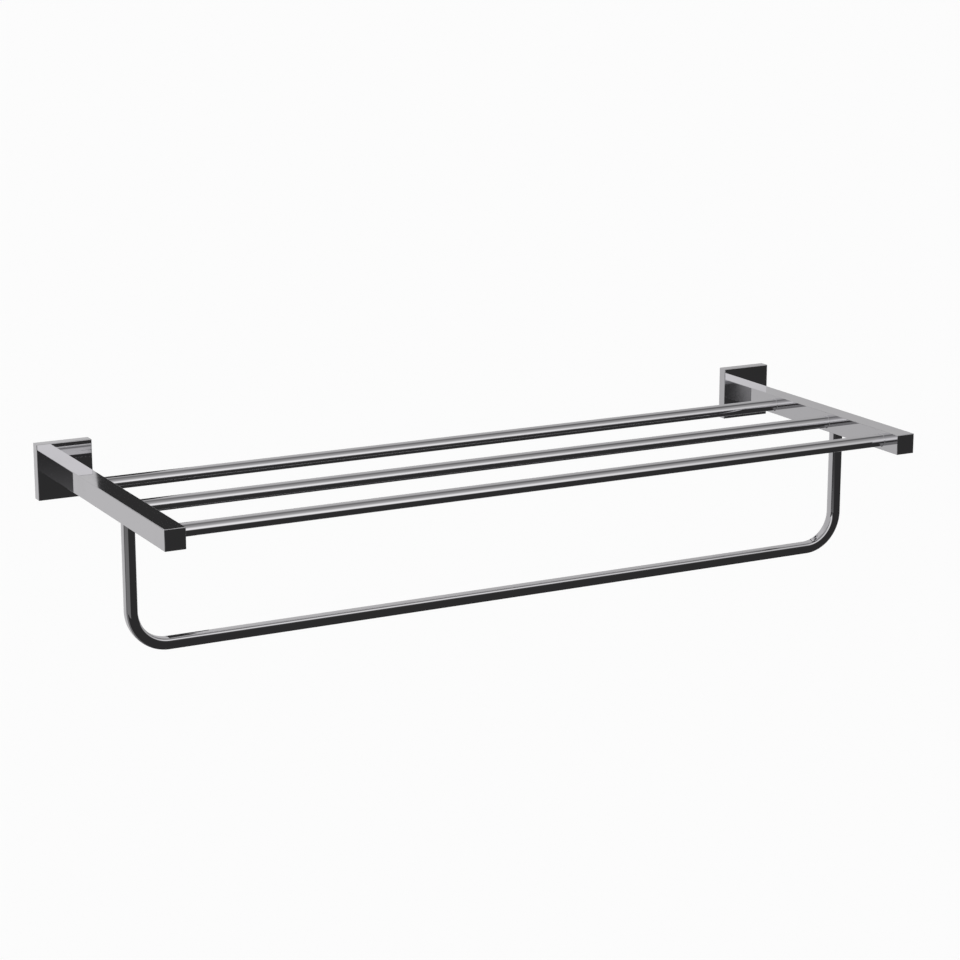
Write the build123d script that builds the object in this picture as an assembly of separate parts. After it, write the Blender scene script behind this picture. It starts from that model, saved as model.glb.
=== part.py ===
from build123d import *
import os

# A wall-hung towel rack in chromed brass: two square wall plates, a square arm on each, three
# round rods between the arms as a shelf, and a square towel bar, bent into a U, hung under them.
#
# Millimetres. X runs along the rods, left to right from the front. +Y points into the wall and
# Z is up. The origin is on the wall's face, midway between the plates, level with the arms.

# ---- overall sizes ----
mount_spacing = 600.0  # between the centres of the wall plates
reach = 230.0  # from the wall to the front of the arms
drop = 105.4  # from the arms' centre line to the underside of the towel bar

# ---- wall plates: square cups, open to the wall ----
plate_side = 42.4
plate_depth = 8.1
plate_wall = 2.0
plate_edge_round = 0.4

# ---- arms: square tube with a cap on the front end ----
arm_side = 15.4
arm_wall = 1.5
arm_edge_round = 0.35
cap_thickness = 2.0
cap_spigot_length = 4.0

# ---- rods: round tube ----
rod_diameter = 9.8
rod_wall = 1.0
rear_rod_from_wall = 61.6
front_rod_inset = 21.2  # behind the arms' front ends

# ---- towel bar: square tube with rounded corners ----
bar_side = 8.7
bar_wall = 1.2
bar_corner_round = 1.8
bar_bend_radius = 27.2  # to the tube's centre line
bar_forward = 3.5  # in front of the middle rod

# ---- wall brackets: plates that the wall screws hold, inside the cups ----
bracket_width = 30.0
bracket_thickness = 4.5
bracket_edge_chamfer = 0.8
bracket_top_gap = 0.1  # the cup hangs on the bracket's top edge
wall_hole_diameter = 4.5
wall_hole_spacing = 20.0  # up and down
wall_hole_head_diameter = 8.0  # of its countersink

# ---- screws, washers and pins ----
grub_diameter = 3.0
grub_length = 6.0
grub_recess = 0.3  # below the plate's underside
grub_from_wall = 2.6
grub_socket = 1.5  # across the flats
arm_screw_diameter = 5.0
arm_screw_length = 16.0
arm_screw_head_diameter = 8.5
arm_screw_head_height = 3.0
arm_screw_socket = 3.0
arm_screw_clearance = 0.25  # all round its shank, in the plate
washer_thickness = 1.2
washer_diameter = 9.2
washer_slit = 0.8
pin_diameter = 2.0
pin_length = 6.0
pin_edge = 0.9  # metal left beside the pin in the root block's corner
pin_in_plate = 1.7
head_clearance = 0.75  # between the arm screw's washer and the bracket
root_block_length = 14.0

# ---- fits ----
slip = 0.05  # between a piece and the hole that it is brazed, pressed or screwed in
joint_lip = 1.0  # how far a rod or the bar stands inside the arm's wall
end_gap = 0.3  # between the bar's ends and the rods above them

# ---- worked out from the sizes above ----
sides = {"left": -1, "right": 1}
arm_half = arm_side / 2
arm_bore = arm_side - 2 * arm_wall
rod_end = mount_spacing / 2 - arm_half + arm_wall + joint_lip
bar_end = min(-arm_half + arm_wall + joint_lip, -rod_diameter / 2 - end_gap)
bar_rail_height = -drop + bar_side / 2
cup_side = plate_side - 2 * plate_wall
cup_depth = plate_depth - plate_wall
bracket_bottom = -plate_side / 2 + grub_recess + grub_length
bracket_top = cup_side / 2 - bracket_top_gap
pin_offset = arm_bore / 2 - pin_edge - pin_diameter / 2
front_rod_from_wall = reach - front_rod_inset
rods_from_wall = {
    "rear": rear_rod_from_wall,
    "middle": (rear_rod_from_wall + front_rod_from_wall) / 2,
    "front": front_rod_from_wall,
}
bar_from_wall = rods_from_wall["middle"] + bar_forward


# ---- shapes ----
def outward(x):
    """+1 on the right arm and -1 on the left: the way that its outer side faces."""
    return 1 if x > 0 else -1


def block(width, height, back, front, at_x=0.0, at_z=0.0):
    """A box from `back` to `front`, both measured from the wall, centred on (at_x, at_z)."""
    return Pos(at_x, -(back + front) / 2, at_z) * Box(width, front - back, height)


def out_of_wall(radius, back, front, at_x=0.0, at_z=0.0):
    """A cylinder that points straight out of the wall."""
    place = Pos(at_x, -(back + front) / 2, at_z) * Rot(90, 0, 0)
    return place * Cylinder(radius, front - back)


def upright(radius, bottom, top, at_x, from_wall):
    """A vertical cylinder."""
    return Pos(at_x, -from_wall, (bottom + top) / 2) * Cylinder(radius, top - bottom)


def sideways(radius, start, end, from_wall):
    """A cylinder along X, level with the arms."""
    place = Pos((start + end) / 2, -from_wall, 0) * Rot(0, 90, 0)
    return place * Cylinder(radius, end - start)


def hex_socket(flats, depth):
    """A hexagonal hole's solid, along Z with its floor at the bottom."""
    return extrude(RegularPolygon(flats / 2, 6, major_radius=False), depth)


def save(name, shape):
    export_step(shape, f"parts/{name}.step")


# ---- wall fixing ----
def wall_plate(x):
    """The chromed cup that hides the bracket and carries the arm."""
    cup = block(plate_side, plate_side, 0, plate_depth, x)
    front = cup.edges().group_by(Axis.Y)[0]
    corners = cup.edges().filter_by(Axis.Y)
    cup = fillet(corners + front, plate_edge_round)
    cup -= block(cup_side, cup_side, -1, cup_depth, x)
    cup -= out_of_wall(arm_screw_diameter / 2 + arm_screw_clearance, 0, plate_depth + 1, x)
    cup -= locating_pin_space(x, pin_diameter / 2 + slip, 0, plate_depth + 1)
    cup -= upright(grub_diameter / 2 + slip, -plate_side, -cup_side / 2 + 1, x, grub_from_wall)
    return cup


def wall_bracket(x):
    """A plate with two countersunk holes for the wall's screws and a hole round the arm's."""
    height = bracket_top - bracket_bottom
    middle = (bracket_top + bracket_bottom) / 2
    plate = block(bracket_width, height, 0, bracket_thickness, x, middle)
    plate = chamfer(plate.edges().group_by(Axis.Y)[0], bracket_edge_chamfer)
    plate -= out_of_wall(washer_diameter / 2 + head_clearance, -1, plate_depth, x)
    flare = (wall_hole_head_diameter - wall_hole_diameter) / 2
    for z in (-wall_hole_spacing / 2, wall_hole_spacing / 2):
        plate -= out_of_wall(wall_hole_diameter / 2, -1, plate_depth, x, z)
        cone = Cone(wall_hole_head_diameter / 2, wall_hole_diameter / 2, flare)
        plate -= Pos(x, -bracket_thickness + flare / 2, z) * Rot(-90, 0, 0) * cone
    return plate


def grub_screw(x):
    """A socket grub screw, up through the plate's underside on to the bracket's lower edge."""
    bottom = bracket_bottom - grub_length
    screw = upright(grub_diameter / 2, bottom, bracket_bottom, x, grub_from_wall)
    screw = chamfer(screw.edges().group_by(Axis.Z)[-1], grub_diameter / 8)
    return screw - Pos(x, -grub_from_wall, bottom) * hex_socket(grub_socket, grub_length / 3)


# ---- arm and how it is screwed to the plate ----
def arm(x):
    """A square tube with a bore for each rod's end and a square hole for the towel bar's."""
    end = reach - cap_thickness
    tube = block(arm_side, arm_side, plate_depth, end, x)
    tube = fillet(tube.edges().filter_by(Axis.Y), arm_edge_round)
    tube -= block(arm_bore, arm_bore, plate_depth - 1, end + 1, x)
    ends = sorted((x, x - outward(x) * arm_side))
    for from_wall in rods_from_wall.values():
        tube -= sideways(rod_diameter / 2 + slip, *ends, from_wall)
    hole = RectangleRounded(bar_side + 2 * slip, bar_side + 2 * slip, bar_corner_round + slip)
    return tube - Pos(x, -bar_from_wall, -arm_side) * extrude(hole, arm_side)


def arm_end_cap(x):
    """Closes the arm's front end, with a spigot inside the tube."""
    cap = block(arm_side, arm_side, reach - cap_thickness, reach, x)
    outer = cap.edges().filter_by(Axis.Y) + cap.edges().group_by(Axis.Y)[0]
    cap = fillet(outer, arm_edge_round)
    spigot_side = arm_bore - 2 * slip
    spigot_start = reach - cap_thickness - cap_spigot_length
    return cap + block(spigot_side, spigot_side, spigot_start, reach - cap_thickness, x)


def arm_root_block(x):
    """A tapped block inside the arm's wall end."""
    side = arm_bore - 2 * slip
    root = block(side, side, plate_depth, plate_depth + root_block_length, x)
    root -= out_of_wall(arm_screw_diameter / 2 + slip, 0, reach, x)
    return root - locating_pin_space(x, pin_diameter / 2 + slip, 0, plate_depth + pin_length)


def arm_screw(x):
    """A low-head socket screw, from inside the cup into the root block."""
    seat = cup_depth - washer_thickness
    top = seat - arm_screw_head_height
    head = out_of_wall(arm_screw_head_diameter / 2, top, seat, x)
    head = fillet(head.edges().group_by(Axis.Y)[-1], arm_screw_head_height / 10)
    shank = out_of_wall(arm_screw_diameter / 2, seat, seat + arm_screw_length, x)
    shank = chamfer(shank.edges().group_by(Axis.Y)[0], arm_screw_diameter / 10)
    socket = hex_socket(arm_screw_socket, arm_screw_head_height / 2)
    return head + shank - Pos(x, -top, 0) * Rot(90, 0, 0) * socket


def arm_lock_washer(x):
    """A split spring washer under the screw's head, flattened when tight."""
    back = cup_depth - washer_thickness
    ring = out_of_wall(washer_diameter / 2, back, cup_depth, x)
    ring -= out_of_wall(arm_screw_diameter / 2 + slip, back - 1, cup_depth + 1, x)
    return ring - block(washer_slit, washer_diameter, back - 1, cup_depth + 1, x, -washer_diameter / 2)


def locating_pin_space(x, radius, back, front):
    """A cylinder on the locating pin's axis, in the arm's upper outer corner."""
    return out_of_wall(radius, back, front, x + outward(x) * pin_offset, pin_offset)


def arm_locating_pin(x):
    """A pin from the plate into the root block, so that the arm can't turn."""
    start = plate_depth - pin_in_plate
    return locating_pin_space(x, pin_diameter / 2, start, start + pin_length)


# ---- shelf rods and towel bar ----
def shelf_rod(from_wall):
    """A round tube from inside one arm's wall to inside the other's."""
    rod = sideways(rod_diameter / 2, -rod_end, rod_end, from_wall)
    return rod - sideways(rod_diameter / 2 - rod_wall, -rod_end - 1, rod_end + 1, from_wall)


def bar_sweep(side, corner):
    """The towel bar's U, swept with a rounded square."""
    x = mount_spacing / 2
    y = -bar_from_wall
    corners = [(-x, y, bar_end), (-x, y, bar_rail_height), (x, y, bar_rail_height), (x, y, bar_end)]
    path = FilletPolyline(*corners, radius=bar_bend_radius)
    section = Plane(origin=path @ 0, x_dir=(1, 0, 0), z_dir=path % 0)
    return sweep(section * RectangleRounded(side, side, corner), path=path)


def towel_bar():
    inner = bar_side - 2 * bar_wall
    return bar_sweep(bar_side, bar_corner_round) - bar_sweep(inner, bar_corner_round - bar_wall)


os.makedirs("parts", exist_ok=True)

side_pieces = {
    "wall_plate": wall_plate,
    "wall_bracket": wall_bracket,
    "plate_grub_screw": grub_screw,
    "arm": arm,
    "arm_end_cap": arm_end_cap,
    "arm_root_block": arm_root_block,
    "arm_screw": arm_screw,
    "arm_lock_washer": arm_lock_washer,
    "arm_locating_pin": arm_locating_pin,
}
for side, sign in sides.items():
    for name, make in side_pieces.items():
        save(f"{side}_{name}", make(sign * mount_spacing / 2))

for name, from_wall in rods_from_wall.items():
    save(f"{name}_rod", shelf_rod(from_wall))

save("towel_bar", towel_bar())
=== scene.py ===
import math

import bmesh
import bpy
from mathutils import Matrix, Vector


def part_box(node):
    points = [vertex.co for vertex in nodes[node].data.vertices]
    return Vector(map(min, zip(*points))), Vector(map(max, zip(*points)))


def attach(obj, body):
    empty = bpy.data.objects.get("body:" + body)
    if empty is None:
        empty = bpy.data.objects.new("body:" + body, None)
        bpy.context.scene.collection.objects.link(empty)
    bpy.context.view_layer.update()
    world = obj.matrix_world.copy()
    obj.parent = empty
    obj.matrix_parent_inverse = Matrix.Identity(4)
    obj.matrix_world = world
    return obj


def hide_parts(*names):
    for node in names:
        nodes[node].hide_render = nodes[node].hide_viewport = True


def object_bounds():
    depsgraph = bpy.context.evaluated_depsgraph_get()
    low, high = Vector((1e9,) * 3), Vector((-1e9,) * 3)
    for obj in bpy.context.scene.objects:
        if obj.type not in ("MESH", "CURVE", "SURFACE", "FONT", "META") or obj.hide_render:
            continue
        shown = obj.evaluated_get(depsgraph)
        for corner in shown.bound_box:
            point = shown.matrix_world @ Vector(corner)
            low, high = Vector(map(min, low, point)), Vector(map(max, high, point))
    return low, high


# A wall-hung towel rack in polished chrome: two wall plates, two square arms, three round shelf
# rods and a square towel bar bent into a U. Metres, in the CAD model's frame: X runs along the
# rods, +Y points into the wall and Z is up.

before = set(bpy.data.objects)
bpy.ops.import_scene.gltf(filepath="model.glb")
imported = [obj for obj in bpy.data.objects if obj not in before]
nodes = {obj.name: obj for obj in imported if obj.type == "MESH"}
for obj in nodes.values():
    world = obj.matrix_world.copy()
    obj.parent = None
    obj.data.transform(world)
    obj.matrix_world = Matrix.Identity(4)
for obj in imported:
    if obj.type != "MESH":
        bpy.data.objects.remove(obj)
cad_low, cad_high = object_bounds()
MM = 0.001
RODS = ("rear_rod", "middle_rod", "front_rod")

# ---- camera ----
VIEW_AZIMUTH = 27.836  # degrees from +Y towards +X
VIEW_FALL = 13.866  # degrees below the horizon
VIEW_DISTANCE = 1.9577
VIEW_LENS = 97.41  # mm
SENSOR = 36.0  # mm
VIEW_AIM = Vector((-0.0126, -0.005, 0.0258))  # from the middle of the CAD box

# ---- floor and light ----
FLOOR_BELOW = 2.3  # under the middle of the wall plates
FLOOR_RADIUS = 150.0
FLOOR_SIDES = 96
FLOOR_LIGHT = (1.0, 1.0, 1.0, 1.0)
PAPER_WHITE = (0.973, 0.973, 0.973, 1.0)
ROOM_LIGHT = (1.0, 0.99, 1.0, 1.0)

# ---- the room the chrome mirrors ----
# TONE and TONES are brightnesses. DEGREES turn about X: 0 is level towards the wall, 90 straight
# up and 180 level to the front. ASIDE and RISE are the X and Z parts of a ray's direction. ROUND
# is in degrees about Z, from the wall towards the left. FACTORS multiply a tone. A pair is where
# a soft change starts and ends, or what it changes from and to. Where a window has three numbers,
# the third is the softness of its edges.
DARK_TONE = 0.028
BACK_TONES = (0.52, 0.50)
BACK_DEGREES = (5.0, 45.0)
BACK_SIDE_FACTORS = (1.0, 0.86)
BACK_SIDE_ASIDE = (0.3, 0.55)
GAP_TONES = (0.14, 0.08)  # the dim gap overhead, at the left and at the right
GAP_ASIDE = (0.40, 0.54)
GAP_DEGREES = (62.0, 97.0)
HAZE_TONE = 0.33
HAZE_DEGREES = (90.0, 130.0)
STRIP_TONES = (0.7254, 0.93)  # the bright strip in front
STRIP_ASIDE = (0.318, 0.332)
STRIP_DEGREES = (128.0, 170.0)
STRIP_END_FACTORS = (1.0, 0.5)
STRIP_END_ASIDE = (0.43, 0.66)
SEAM_ASIDE = (0.3197, 0.3520, 0.0004)  # the dark seam between two back panels
SEAM_JOG = 0.0046  # its step sideways between two rises
SEAM_JOG_RISE = (0.275, 0.32, 0.02)
SEAM_TOP_DEGREES = (63.0, 15.0)
SEAM_TOP_ASIDE = (0.335, 0.3525)
SEAM_TOP_SOFT = 5.0
GREY_TONE = 0.17  # the grey floor at the left
GREY_RISE = (-0.225, -0.265)
GREY_NEAR_ROUND = (35.0, 79.0)
GREY_NEAR_RISE = (-0.45, -0.3)
GREY_FAR_ROUND = (131.0, 193.0)
GREY_FAR_RISE = (-0.325, -0.305)
HORIZON_BACK = (-1.0, 0.0)
HORIZON_FRONT = (174.0, 191.0)
HORIZON_DROP = (9.0, 0.0)  # degrees lower in front, for rays far to the left
HORIZON_DROP_ASIDE = (-0.5433, -0.5418)
LOW_BACK_DEGREES = (-38.0, 0.0, 4.0)  # the back panel goes on below the horizon
LOW_BACK_ROUND = (-120.0, 47.0, 3.0)

# ---- metals ----
# Tints are pairs of colours: as made, and where film, wear or tarnish has changed them. Cells are
# the noise's cells to the metre along each axis.
CHROME_TINTS = ((0.862, 0.858, 0.876), (0.82, 0.815, 0.83))
ZINC_TINTS = ((0.52, 0.52, 0.51), (0.72, 0.72, 0.71))
STEEL_TINTS = ((0.56, 0.555, 0.54), (0.7, 0.695, 0.68))
BRASS_TINTS = ((0.78, 0.57, 0.27), (0.5, 0.36, 0.2))
SMUDGE_CELLS = (38.0, 38.0, 38.0)
RIPPLE_CELLS = (120.0, 120.0, 120.0)
HAIRLINE_CELLS_ACROSS = 2600.0
HAIRLINE_CELLS_ALONG = 45.0
SKIN_CELLS = (1400.0, 1400.0, 1400.0)
FLOW_CELLS = (90.0, 90.0, 60.0)
GRAIN_CELLS = (900.0, 900.0, 900.0)
TARNISH_CELLS = (160.0, 160.0, 160.0)
MILLING_CELLS = (220.0, 3200.0, 3200.0)
TURNING_PITCH = 0.12 * MM
EDGE_POINTINESS = (0.52, 0.6)

# ---- meshes ----
ROD_SIDES = 128
ROD_WALL = 1.0 * MM
RING_STEP = 25 * MM
BAR_WALL = 1.2 * MM
BAR_CORNER = 1.8 * MM
BAR_BEND = 27.2 * MM  # radius of the tube's centre line
BAR_SWELL = math.radians(5.5)  # how far its flats lean where they meet the corners
BAR_FLAT_STEPS = 10
BAR_CORNER_STEPS = 12
BAR_BEND_STEPS = 48
UPRIGHT_STEPS = 5
END_CHAMFER = 0.15 * MM
BRAZE = 0.6 * MM  # fillets where rods and bar meet the arms
BRAZE_STEPS = 8
SHARP_ANGLE = math.radians(35)
WELD_DISTANCE = 1e-7


# ---- node helpers ----
class Graph:
    """Adds nodes to one shader tree. A value that is a socket is linked."""

    def __init__(self, tree):
        self.tree = tree
        tree.nodes.clear()

    def put(self, socket, value):
        if isinstance(value, bpy.types.NodeSocket):
            self.tree.links.new(value, socket)
        else:
            socket.default_value = value

    def add(self, kind, inputs=None, **settings):
        made = self.tree.nodes.new("ShaderNode" + kind)
        for name, value in settings.items():
            setattr(made, name, value)
        for name, value in (inputs or {}).items():
            self.put(made.inputs[name], value)
        return made

    def calc(self, operation, *values):
        made = self.add("Math", operation=operation)
        for socket, value in zip(made.inputs, values):
            self.put(socket, value)
        return made.outputs[0]

    def product(self, first, *others):
        for other in others:
            first = self.calc("MULTIPLY", first, other)
        return first

    def weighted(self, base, *parts):
        """base plus every part, each given as (value, weight)."""
        for value, weight in parts:
            base = self.calc("MULTIPLY_ADD", value, weight, base)
        return base

    def ramp(self, value, start, end, low=0.0, high=1.0):
        """Goes smoothly from low at start to high at end."""
        limits = {"Value": value, "From Min": start, "From Max": end, "To Min": low, "To Max": high}
        return self.add("MapRange", limits, interpolation_type="SMOOTHSTEP").outputs[0]

    def window(self, value, start, end, soft):
        """1 between start and end, with soft edges of that width outside them."""
        opened = self.ramp(value, start - soft, start)
        closed = self.ramp(value, end, end + soft, 1.0, 0.0)
        return self.product(opened, closed)

    def blend(self, factor, low, high):
        """low where factor is 0 and high where it is 1."""
        made = self.add("Mix", {"Factor": factor, "A": low, "B": high}, data_type="FLOAT")
        return made.outputs["Result"]

    def tinted(self, factor, low, high):
        """A colour between low where factor is 0 and high where it is 1."""
        made = self.add("Mix", data_type="RGBA")
        self.put(made.inputs["Factor"], factor)
        self.put(made.inputs["A"], (*low, 1.0))
        self.put(made.inputs["B"], (*high, 1.0))
        return made.outputs["Result"]

    def noise(self, cells, detail=4.0, roughness=0.55):
        """Noise with its own number of cells to the metre along each axis."""
        place = self.add("TexCoord").outputs["Object"]
        stretched = self.add("Mapping", {"Vector": place, "Scale": cells})
        inputs = {"Vector": stretched.outputs[0], "Scale": 1.0, "Detail": detail, "Roughness": roughness}
        return self.add("TexNoise", inputs).outputs["Fac"]

    def worn_edges(self):
        """1 on convex edges, 0 elsewhere."""
        return self.ramp(self.add("NewGeometry").outputs["Pointiness"], *EDGE_POINTINESS)

    def bumped(self, *layers):
        """Adds up bumps, each given as (height, depth in metres)."""
        normal = None
        for height, depth in layers:
            bump = self.add("Bump", {"Strength": 1.0, "Distance": depth, "Height": height})
            if normal is not None:
                self.put(bump.inputs["Normal"], normal)
            normal = bump.outputs[0]
        return normal


# ---- camera and studio ----
def make_camera():
    azimuth = math.radians(VIEW_AZIMUTH)
    fall = math.radians(VIEW_FALL)
    level = math.cos(fall)
    ahead = Vector((math.sin(azimuth) * level, math.cos(azimuth) * level, -math.sin(fall)))
    camera = bpy.data.objects.new("camera", bpy.data.cameras.new("camera"))
    camera.data.lens = VIEW_LENS
    camera.data.sensor_width = SENSOR
    camera.data.clip_end = 4 * FLOOR_RADIUS
    camera.location = (cad_low + cad_high) / 2 + VIEW_AIM - ahead * VIEW_DISTANCE
    camera.rotation_euler = ahead.to_track_quat("-Z", "Y").to_euler()
    bpy.context.scene.collection.objects.link(camera)
    bpy.context.scene.camera = camera


def degrees_between(graph, upper, lower, wrap_below):
    """ARCTAN2 in degrees, as it is and with angles below wrap_below moved up a full turn."""
    turned = graph.calc("DEGREES", graph.calc("ARCTAN2", upper, lower))
    wrapped = graph.calc("LESS_THAN", turned, wrap_below)
    return turned, graph.calc("MULTIPLY_ADD", wrapped, 360.0, turned)


def upper_room(graph, x, z, angle):
    """The panel behind, the dim gap overhead, the bright strip in front and the panel's seam."""
    sides = graph.ramp(graph.calc("ABSOLUTE", x), *BACK_SIDE_ASIDE, *BACK_SIDE_FACTORS)
    panel = graph.product(graph.ramp(angle, *BACK_DEGREES, *BACK_TONES), sides)
    gap = graph.ramp(x, *GAP_ASIDE, *GAP_TONES)
    gap = graph.blend(graph.ramp(angle, *HAZE_DEGREES), gap, HAZE_TONE)
    light = graph.blend(graph.ramp(angle, *GAP_DEGREES), panel, gap)
    strip_end = graph.ramp(x, *STRIP_END_ASIDE, *STRIP_END_FACTORS)
    strip = graph.product(graph.ramp(x, *STRIP_ASIDE, *STRIP_TONES), strip_end)
    light = graph.blend(graph.ramp(angle, *STRIP_DEGREES), light, strip)

    jogged = graph.weighted(x, (graph.window(z, *SEAM_JOG_RISE), SEAM_JOG))
    top = graph.ramp(jogged, *SEAM_TOP_ASIDE, *SEAM_TOP_DEGREES)
    past_top = graph.calc("SUBTRACT", angle, top)
    below_top = graph.ramp(past_top, -SEAM_TOP_SOFT, SEAM_TOP_SOFT, 1.0, 0.0)
    seam = graph.product(graph.window(jogged, *SEAM_ASIDE), below_top)
    return graph.blend(seam, light, DARK_TONE)


def lower_room(graph, z, to_left):
    """Darkness, with a grey floor at the left."""
    near_end = graph.ramp(z, *GREY_NEAR_RISE, *GREY_NEAR_ROUND)
    far_end = graph.ramp(z, *GREY_FAR_RISE, *GREY_FAR_ROUND)
    past_near = graph.calc("GREATER_THAN", to_left, near_end)
    before_far = graph.calc("LESS_THAN", to_left, far_end)
    floor = graph.product(past_near, graph.ramp(z, *GREY_RISE), before_far)
    return graph.blend(floor, DARK_TONE, GREY_TONE)


def mirrored_room(graph):
    """The brightness of what the chrome mirrors, by the direction of the ray."""
    axes = graph.add("SeparateXYZ", {"Vector": graph.add("TexCoord").outputs["Generated"]})
    x, y, z = axes.outputs
    _, angle = degrees_between(graph, z, y, -90.0)
    around, to_left = degrees_between(graph, graph.calc("MULTIPLY", x, -1.0), y, -150.0)

    drop = graph.ramp(x, *HORIZON_DROP_ASIDE, *HORIZON_DROP)
    before_front = graph.ramp(graph.calc("SUBTRACT", angle, drop), *HORIZON_FRONT, 1.0, 0.0)
    above = graph.product(graph.ramp(angle, *HORIZON_BACK), before_front)
    low_back = graph.product(graph.window(angle, *LOW_BACK_DEGREES), graph.window(around, *LOW_BACK_ROUND))
    lit = graph.calc("MAXIMUM", above, low_back)
    return graph.blend(lit, lower_room(graph, z, to_left), upper_room(graph, x, z, angle))


def make_studio():
    """Even white light on the floor, and a softly lit room that only reflections see."""
    world = bpy.data.worlds.new("studio")
    bpy.context.scene.world = world
    world.use_nodes = True
    graph = Graph(world.node_tree)
    plain = graph.add("Background", {"Color": FLOOR_LIGHT})
    paper = graph.add("Background", {"Color": PAPER_WHITE})
    mirrored = graph.add("Background", {"Color": ROOM_LIGHT, "Strength": mirrored_room(graph)})
    rays = graph.add("LightPath")
    seen = graph.add("MixShader", {"Fac": rays.outputs["Is Camera Ray"]})
    graph.put(seen.inputs[1], plain.outputs[0])
    graph.put(seen.inputs[2], paper.outputs[0])
    both = graph.add("MixShader", {"Fac": rays.outputs["Is Glossy Ray"]})
    graph.put(both.inputs[1], seen.outputs[0])
    graph.put(both.inputs[2], mirrored.outputs[0])
    graph.add("OutputWorld", {"Surface": both.outputs[0]})


def make_floor():
    mesh = bpy.data.meshes.new("floor")
    shape = bmesh.new()
    bmesh.ops.create_circle(shape, cap_ends=True, radius=FLOOR_RADIUS, segments=FLOOR_SIDES)
    shape.to_mesh(mesh)
    shape.free()
    floor = bpy.data.objects.new("floor", mesh)
    floor.location.z = -FLOOR_BELOW
    floor.visible_glossy = False
    bpy.context.scene.collection.objects.link(floor)
    material = bpy.data.materials.new("pale_floor")
    material.use_nodes = True
    graph = Graph(material.node_tree)
    paper = graph.add("BsdfDiffuse", {"Color": PAPER_WHITE})
    graph.add("OutputMaterial", {"Surface": paper.outputs[0]})
    mesh.materials.append(material)


# ---- materials ----
def metal(name, build):
    """A metal whose build gives its colour, roughness and normal."""
    material = bpy.data.materials.new(name)
    material.use_nodes = True
    graph = Graph(material.node_tree)
    colour, roughness, normal = build(graph)
    inputs = {"Metallic": 1.0, "Base Color": colour, "Roughness": roughness, "Normal": normal}
    shader = graph.add("BsdfPrincipled", inputs)
    graph.add("OutputMaterial", {"Surface": shader.outputs[0]})
    return material


def polished_chrome(name, buffed_along):
    """Mirror chrome: faint haze, hairline scratches the way it was buffed, a trace of ripple."""
    hairline_cells = [HAIRLINE_CELLS_ACROSS] * 3
    hairline_cells["XYZ".index(buffed_along)] = HAIRLINE_CELLS_ALONG

    def build(graph):
        smudge = graph.ramp(graph.noise(SMUDGE_CELLS, 5.0), 0.5, 0.75)
        hairlines = graph.ramp(graph.noise(hairline_cells, 2.0), 0.58, 0.74)
        ripple = graph.noise(RIPPLE_CELLS, 1.0)
        edges = graph.worn_edges()
        film = graph.weighted(0.0, (hairlines, 0.3), (smudge, 0.5))
        roughness = graph.weighted(0.008, (smudge, 0.012), (hairlines, 0.008), (edges, 0.02))
        normal = graph.bumped((ripple, 1e-6), (hairlines, 1e-8))
        return graph.tinted(film, *CHROME_TINTS), roughness, normal

    return metal(name, build)


def cast_zinc():
    """A nickel-plated casting: satin, a little grainy, rubbed brighter on its edges."""

    def build(graph):
        skin = graph.noise(SKIN_CELLS, 6.0, 0.65)
        flow = graph.noise(FLOW_CELLS)
        edges = graph.worn_edges()
        worn = graph.weighted(0.0, (flow, 0.35), (edges, 0.8))
        roughness = graph.weighted(0.3, (skin, 0.16), (edges, -0.1))
        normal = graph.bumped((flow, 6e-5), (skin, 1.2e-5))
        return graph.tinted(worn, *ZINC_TINTS), roughness, normal

    return metal("cast_zinc", build)


def turned_steel(name, centre):
    """Stainless steel with fine turning rings about the Y axis through centre."""

    def build(graph):
        shifted = graph.add("VectorMath", operation="SUBTRACT")
        graph.put(shifted.inputs[0], graph.add("TexCoord").outputs["Object"])
        graph.put(shifted.inputs[1], centre)
        x, _, z = graph.add("SeparateXYZ", {"Vector": shifted.outputs[0]}).outputs
        squares = graph.calc("ADD", graph.calc("POWER", x, 2.0), graph.calc("POWER", z, 2.0))
        rings = graph.calc("SINE", graph.product(graph.calc("SQRT", squares), 2 * math.pi / TURNING_PITCH))
        grain = graph.noise(GRAIN_CELLS)
        edges = graph.worn_edges()
        roughness = graph.weighted(0.2, (grain, 0.14), (edges, -0.08))
        normal = graph.bumped((rings, 1.5e-6), (grain, 4e-6))
        return graph.tinted(grain, *STEEL_TINTS), roughness, normal

    return metal(name, build)


def bare_brass():
    """Sawn and milled brass, slightly tarnished."""

    def build(graph):
        tarnish = graph.ramp(graph.noise(TARNISH_CELLS, 5.0), 0.4, 0.7)
        milling = graph.noise(MILLING_CELLS, 2.0)
        roughness = graph.weighted(0.26, (tarnish, 0.18))
        return graph.tinted(tarnish, *BRASS_TINTS), roughness, graph.bumped((milling, 5e-6))

    return metal("bare_brass", build)


# ---- pieces ----
def tube_mesh(name, outer, inner):
    """A closed hollow tube from rings of points: the outer skin, the inner skin and two end rings."""
    shape = bmesh.new()
    skins = [[[shape.verts.new(point) for point in ring] for ring in skin] for skin in (outer, inner)]
    loops = skins[0] + skins[1][::-1]
    sides = len(loops[0])
    for start, end in zip(loops, loops[1:] + loops[:1]):
        for i in range(sides):
            j = (i + 1) % sides
            shape.faces.new((start[i], end[i], end[j], start[j]))
    bmesh.ops.recalc_face_normals(shape, faces=shape.faces)
    mesh = bpy.data.meshes.new(name)
    shape.to_mesh(mesh)
    shape.free()
    mesh.shade_smooth()
    mesh.set_sharp_from_angle(angle=SHARP_ANGLE)
    return mesh


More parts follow.
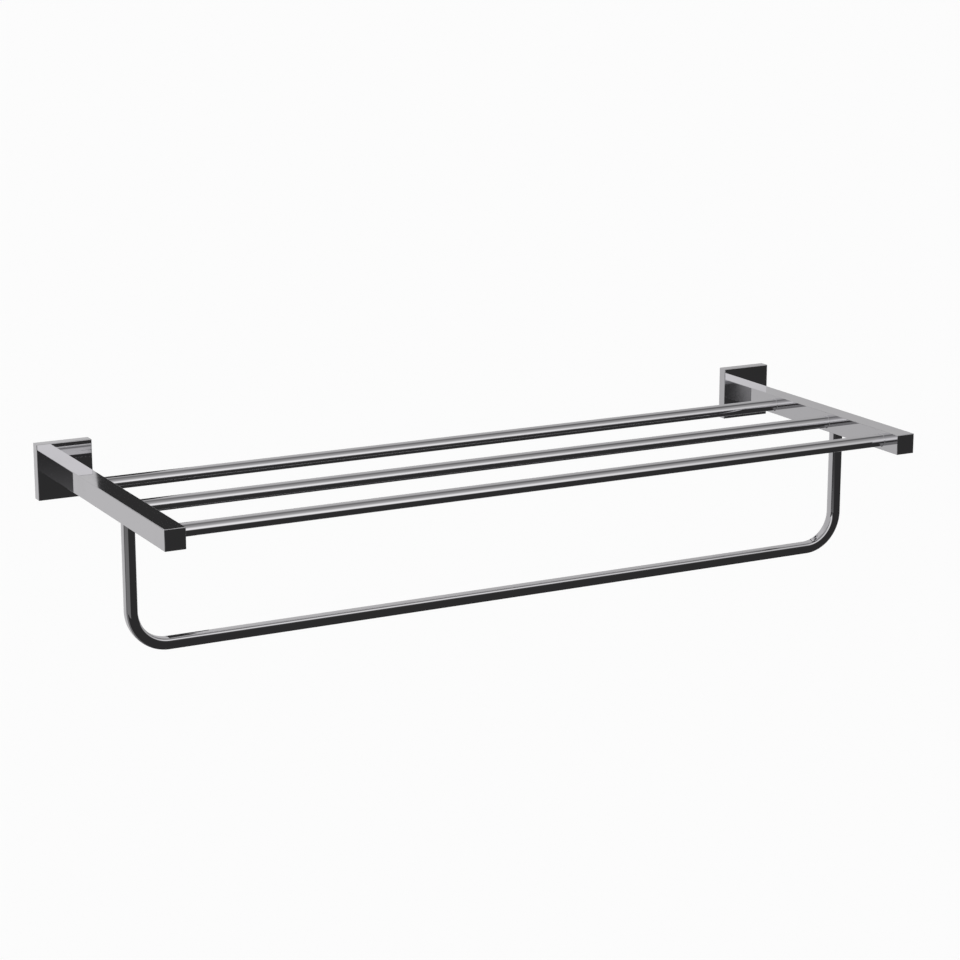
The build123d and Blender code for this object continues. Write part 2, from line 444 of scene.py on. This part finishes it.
def add_piece(name, mesh, material, *stands_for):
    piece = bpy.data.objects.new(name, mesh)
    bpy.context.scene.collection.objects.link(piece)
    mesh.materials.append(material)
    steady = piece.modifiers.new("flat_faces_stay_flat", "WEIGHTED_NORMAL")
    steady.keep_sharp = True
    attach(piece, "root")
    if stands_for:
        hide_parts(*stands_for)


def paint(node, material):
    """Gives a CAD node its material, and drops the faces without area from its mesh."""
    mesh = nodes[node].data
    mesh.materials.clear()
    mesh.materials.append(material)
    weld = nodes[node].modifiers.new("drop_faces_without_area", "WELD")
    weld.merge_threshold = WELD_DISTANCE


def rod_ring(x, radius, y, z):
    turn = 2 * math.pi / ROD_SIDES
    return [
        Vector((x, y + radius * math.cos(i * turn), z + radius * math.sin(i * turn)))
        for i in range(ROD_SIDES)
    ]


def shelf_rod(node):
    """A round tube along X, with its ends lightly broken."""
    low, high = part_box(node)
    middle = (low + high) / 2
    radius = (high.z - low.z) / 2
    start = low.x + END_CHAMFER
    length = high.x - low.x - 2 * END_CHAMFER
    count = round((high.x - low.x) / RING_STEP)
    inside = [start + length * i / count for i in range(count + 1)]
    outer = [rod_ring(low.x, radius - END_CHAMFER, middle.y, middle.z)]
    outer += [rod_ring(x, radius, middle.y, middle.z) for x in inside]
    outer += [rod_ring(high.x, radius - END_CHAMFER, middle.y, middle.z)]
    inner = [rod_ring(x, radius - ROD_WALL, middle.y, middle.z) for x in (low.x, *inside, high.x)]
    return tube_mesh(node, outer, inner)


def rounded_square(side, corner):
    """Points round a square with rounded corners and slightly swollen sides, as (across, along)."""
    slant = math.sin(BAR_SWELL) - math.cos(BAR_SWELL)
    swell = (side / 2 + corner * slant) / (1 + slant)
    centre = (swell - corner) * math.sin(BAR_SWELL)
    outline = []
    for step in range(BAR_FLAT_STEPS):
        turn = BAR_SWELL * (2 * step / BAR_FLAT_STEPS - 1)
        outline.append((side / 2 - swell + swell * math.cos(turn), swell * math.sin(turn)))
    for step in range(BAR_CORNER_STEPS):
        turn = BAR_SWELL + (math.pi / 2 - 2 * BAR_SWELL) * step / BAR_CORNER_STEPS
        outline.append((centre + corner * math.cos(turn), centre + corner * math.sin(turn)))
    points = []
    for _ in range(4):
        points += outline
        outline = [(-along, across) for across, along in outline]
    return points


def bar_path(low, high, side):
    """Places down the left upright, along the rail and up the right one, as (x, z, heading)."""
    left = low.x + side / 2
    right = high.x - side / 2
    rail = low.z + side / 2
    places = []
    for step in range(UPRIGHT_STEPS):
        z = high.z + (rail + BAR_BEND - high.z) * step / UPRIGHT_STEPS
        places.append((left, z, -math.pi / 2))
    for step in range(BAR_BEND_STEPS + 1):
        turn = math.pi / 2 * step / BAR_BEND_STEPS
        x = left + BAR_BEND * (1 - math.cos(turn))
        z = rail + BAR_BEND * (1 - math.sin(turn))
        places.append((x, z, turn - math.pi / 2))
    half = list(places)
    length = right - left - 2 * BAR_BEND
    count = round(length / RING_STEP)
    for step in range(1, count):
        places.append((left + BAR_BEND + length * step / count, rail, 0.0))
    for x, z, heading in reversed(half):
        places.append((left + right - x, z, -heading))
    return places


def towel_bar(node):
    """A square tube bent into a U."""
    low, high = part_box(node)
    side = high.y - low.y
    y = (low.y + high.y) / 2
    path = bar_path(low, high, side)
    skins = []
    for width, corner in ((side, BAR_CORNER), (side - 2 * BAR_WALL, BAR_CORNER - BAR_WALL)):
        section = rounded_square(width, corner)
        rings = []
        for x, z, heading in path:
            normal = Vector((-math.sin(heading), 0, math.cos(heading)))
            rings.append([Vector((x, y + v, z)) + normal * u for u, v in section])
        skins.append(rings)
    return tube_mesh(node, *skins)


def braze_profile():
    """Across a hollow fillet, as (up the part, out from it), from the part's skin to the arm."""
    turns = [math.pi / 2 * step / BRAZE_STEPS for step in range(BRAZE_STEPS + 1)]
    return [(BRAZE * (1 - math.sin(turn)), BRAZE * (1 - math.cos(turn))) for turn in turns]


def rod_braze(node, face, inward):
    """The ring of braze round a rod where it meets an arm's inner face."""
    low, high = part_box(node)
    middle = (low + high) / 2
    radius = (high.z - low.z) / 2
    skin = [rod_ring(face + inward * up, radius + out, middle.y, middle.z) for up, out in braze_profile()]
    return tube_mesh(f"braze_{node}", skin, [rod_ring(face, radius, middle.y, middle.z)])


def bar_braze(middle, side):
    """The ring of braze round the towel bar where it meets an arm's underside."""
    skin = []
    for up, out in (*braze_profile(), (0.0, 0.0)):
        section = rounded_square(side + 2 * out, BAR_CORNER + out)
        skin.append([Vector((middle.x + u, middle.y + v, middle.z - up)) for u, v in section])
    return tube_mesh("braze_towel_bar", skin[:-1], skin[-1:])


# ---- scene ----
bpy.context.scene.view_settings.view_transform = "Standard"
make_camera()
make_studio()
make_floor()

chrome_along_x = polished_chrome("polished_chrome_x", "X")
chrome_along_y = polished_chrome("polished_chrome_y", "Y")
zinc = cast_zinc()
brass = bare_brass()

for rod in RODS:
    add_piece(f"fine_{rod}", shelf_rod(rod), chrome_along_x, rod)
add_piece("fine_towel_bar", towel_bar("towel_bar"), chrome_along_x, "towel_bar")

bar_low, bar_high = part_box("towel_bar")
bar_side = bar_high.y - bar_low.y
for side, inward in (("left", 1), ("right", -1)):
    low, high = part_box(f"{side}_arm")
    face = high.x if side == "left" else low.x
    for rod in RODS:
        add_piece(f"{side}_{rod}_braze", rod_braze(rod, face, inward), chrome_along_x)
    x = bar_low.x + bar_side / 2 if side == "left" else bar_high.x - bar_side / 2
    end = Vector((x, (bar_low.y + bar_high.y) / 2, low.z))
    add_piece(f"{side}_bar_braze", bar_braze(end, bar_side), chrome_along_x)

for side in ("left", "right"):
    low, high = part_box(f"{side}_arm_screw")
    steel = turned_steel(f"{side}_turned_steel", (low + high) / 2)
    paint(f"{side}_wall_plate", chrome_along_x)
    paint(f"{side}_arm", chrome_along_y)
    paint(f"{side}_arm_end_cap", chrome_along_x)
    paint(f"{side}_wall_bracket", zinc)
    paint(f"{side}_arm_root_block", brass)
    for piece in ("arm_screw", "arm_lock_washer", "arm_locating_pin", "plate_grub_screw"):
        paint(f"{side}_{piece}", steel)
